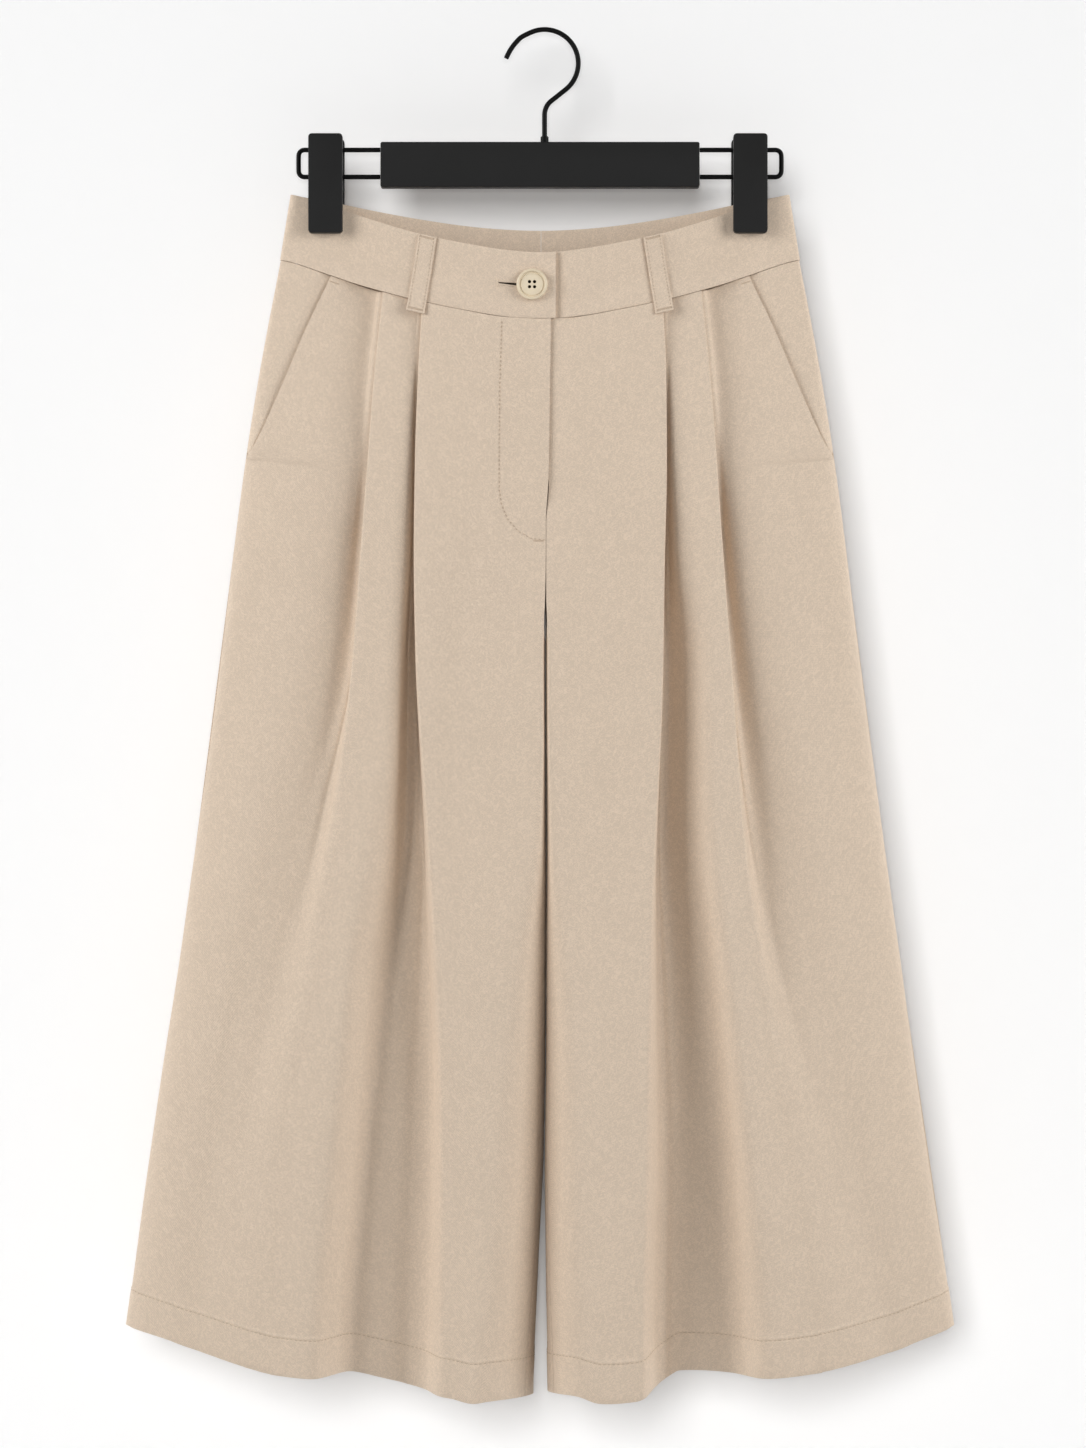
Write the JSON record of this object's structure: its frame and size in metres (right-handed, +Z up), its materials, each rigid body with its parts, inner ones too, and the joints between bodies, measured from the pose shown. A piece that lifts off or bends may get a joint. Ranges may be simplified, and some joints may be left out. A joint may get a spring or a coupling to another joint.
{
  "type": "wide-leg bermuda shorts (culottes) on a clip hanger",
  "caption": "Pleated wide-leg shorts in smooth cloth with waistband, button, belt loops and slanted pockets, held open-legged by the waistband on a bare clip hanger.",
  "frame": {"origin": "inner top of the hook's arc, where a rail carries the hanger", "axes": "+Z up; -Y is the front of the shorts; +X is the wearer's left"},
  "size_m": [0.5801, 0.0952, 0.9559],
  "materials": {
    "cloth": "smooth beige twill with a soft matt face",
    "button": "cream, softly polished",
    "bar": "fine matt black",
    "clip": "matt black",
    "wire": "black coated steel wire"
  },
  "bodies": {
    "root": {"front_right": "cloth", "front_left": "cloth", "back_right": "cloth", "back_left": "cloth", "hip_panel_right": "cloth", "hip_panel_left": "cloth", "waistband_front_right": "cloth", "waistband_front_left": "cloth", "waistband_back_right": "cloth", "waistband_back_left": "cloth", "belt_loop_front_right": "cloth", "belt_loop_front_left": "cloth", "belt_loop_back_right": "cloth", "belt_loop_back_left": "cloth", "button": "button", "hanger_bar": "bar", "hanger_hook": "wire", "hanger_collar": "wire", "hanger_loop_right": "wire", "hanger_loop_left": "wire", "clip_front_right": "clip", "clip_front_left": "clip", "clip_back_right": "clip", "clip_back_left": "clip"}
  },
  "joints": []
}
